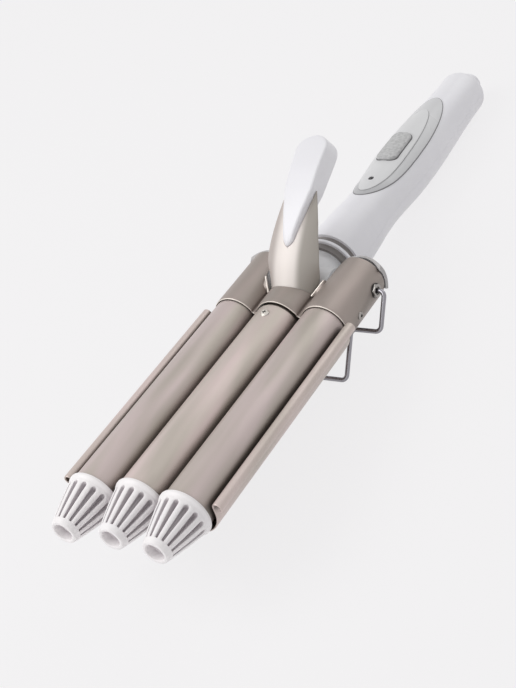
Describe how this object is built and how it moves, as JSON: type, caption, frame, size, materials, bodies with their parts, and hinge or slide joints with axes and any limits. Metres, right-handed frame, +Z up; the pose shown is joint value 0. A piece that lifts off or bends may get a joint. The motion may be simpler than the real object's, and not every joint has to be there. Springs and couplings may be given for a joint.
{
  "type": "hair waver",
  "caption": "Wave styling iron: two outer barrels on a sprung clamp close over a wave-shaped plate with a centre barrel, with a slender handle, thumb lever and wire stand.",
  "frame": {"origin": "middle of the footprint, on the table the part stands on", "axes": "+Y runs from the barrels to the handle, +X to the right seen from the tips side of the top, +Z up from the table; the barrels dip a few degrees as the part rests on its wire stand and the end of its handle"},
  "size_m": [0.094, 0.4026, 0.0931],
  "materials": {
    "alu_barrel": "champagne coated thin aluminium tube",
    "alu_plate": "champagne coated aluminium sheet",
    "board": "green circuit board",
    "brass": "brass",
    "button_plastic": "mid grey textured plastic",
    "ceramic": "alumina heater bar with its coating",
    "champagne": "champagne ceramic-coated aluminium, satin",
    "dark_plastic": "dark plastic",
    "grey_plastic": "light silver-grey plastic",
    "heat_plastic": "heat-proof plastic",
    "lead_red": "silicone-insulated lead",
    "lens": "smoky clear plastic lens",
    "plated_steel": "bright plated steel",
    "satin_metal": "satin champagne aluminium",
    "spring_steel": "dark spring steel",
    "white_plastic": "white satin plastic"
  },
  "bodies": {
    "handle": {"yoke": "white_plastic", "yoke_cover": "white_plastic", "spacer_rings": "dark_plastic", "front_ring": "white_plastic", "wave_plate": "alu_plate", "centre_barrel": "alu_barrel", "centre_tip": "white_plastic", "centre_heater": "ceramic", "centre_heater_clip": "plated_steel", "thermostat": "dark_plastic", "centre_leads": "lead_red", "plate_screw": "plated_steel", "left_eyelet": "plated_steel", "right_eyelet": "plated_steel", "spring_pin": "plated_steel", "return_spring": "spring_steel", "upper_shell": "white_plastic", "lower_shell": "white_plastic", "handle_screws": "plated_steel", "control_bezel": "grey_plastic", "control_panel": "grey_plastic", "pilot_lens": "lens", "pilot_led": "lens", "circuit_board": "board", "tact_switch": "dark_plastic", "cord_terminal": "dark_plastic"},
    "clamp": {"clamp_bracket": "champagne", "thumb_lever": "satin_metal", "thumb_rest": "white_plastic", "rest_screw": "plated_steel", "left_barrel": "alu_barrel", "right_barrel": "alu_barrel", "left_tip": "white_plastic", "right_tip": "white_plastic", "left_base": "heat_plastic", "right_base": "heat_plastic", "left_heater": "ceramic", "right_heater": "ceramic", "left_heater_clip": "plated_steel", "right_heater_clip": "plated_steel", "collar_screws": "plated_steel"},
    "stand": {"stand_wire": "plated_steel"},
    "button": {"power_button": "button_plastic"},
    "swivel": {"cord_swivel": "white_plastic", "slip_rings": "brass"}
  },
  "joints": [
    {"name": "clamp_hinge", "type": "hinge", "parent": "handle", "child": "clamp", "pos_m": [0, -0.00832, 0.03461], "axis": [-1, 0, 0], "range_deg": [0, 26], "stiffness_Nm_per_rad": 0.35, "springref_deg": -20.05, "deforming": ["return_spring"]},
    {"name": "stand_hinge", "type": "hinge", "parent": "handle", "child": "stand", "pos_m": [0, -0.00832, 0.03461], "axis": [1, 0, 0], "range_deg": [0, 95]},
    {"name": "button_press", "type": "slide", "parent": "handle", "child": "button", "axis": [0, -0.0938, -0.9956], "range_m": [0, 0.0008], "stiffness_N_per_m": 900, "springref_m": -0.0012},
    {"name": "cord_swivel_turn", "type": "hinge", "parent": "handle", "child": "swivel", "pos_m": [0, 0.19267, 0.01336], "axis": [0, 0.9956, -0.0938], "continuous": true}
  ]
}
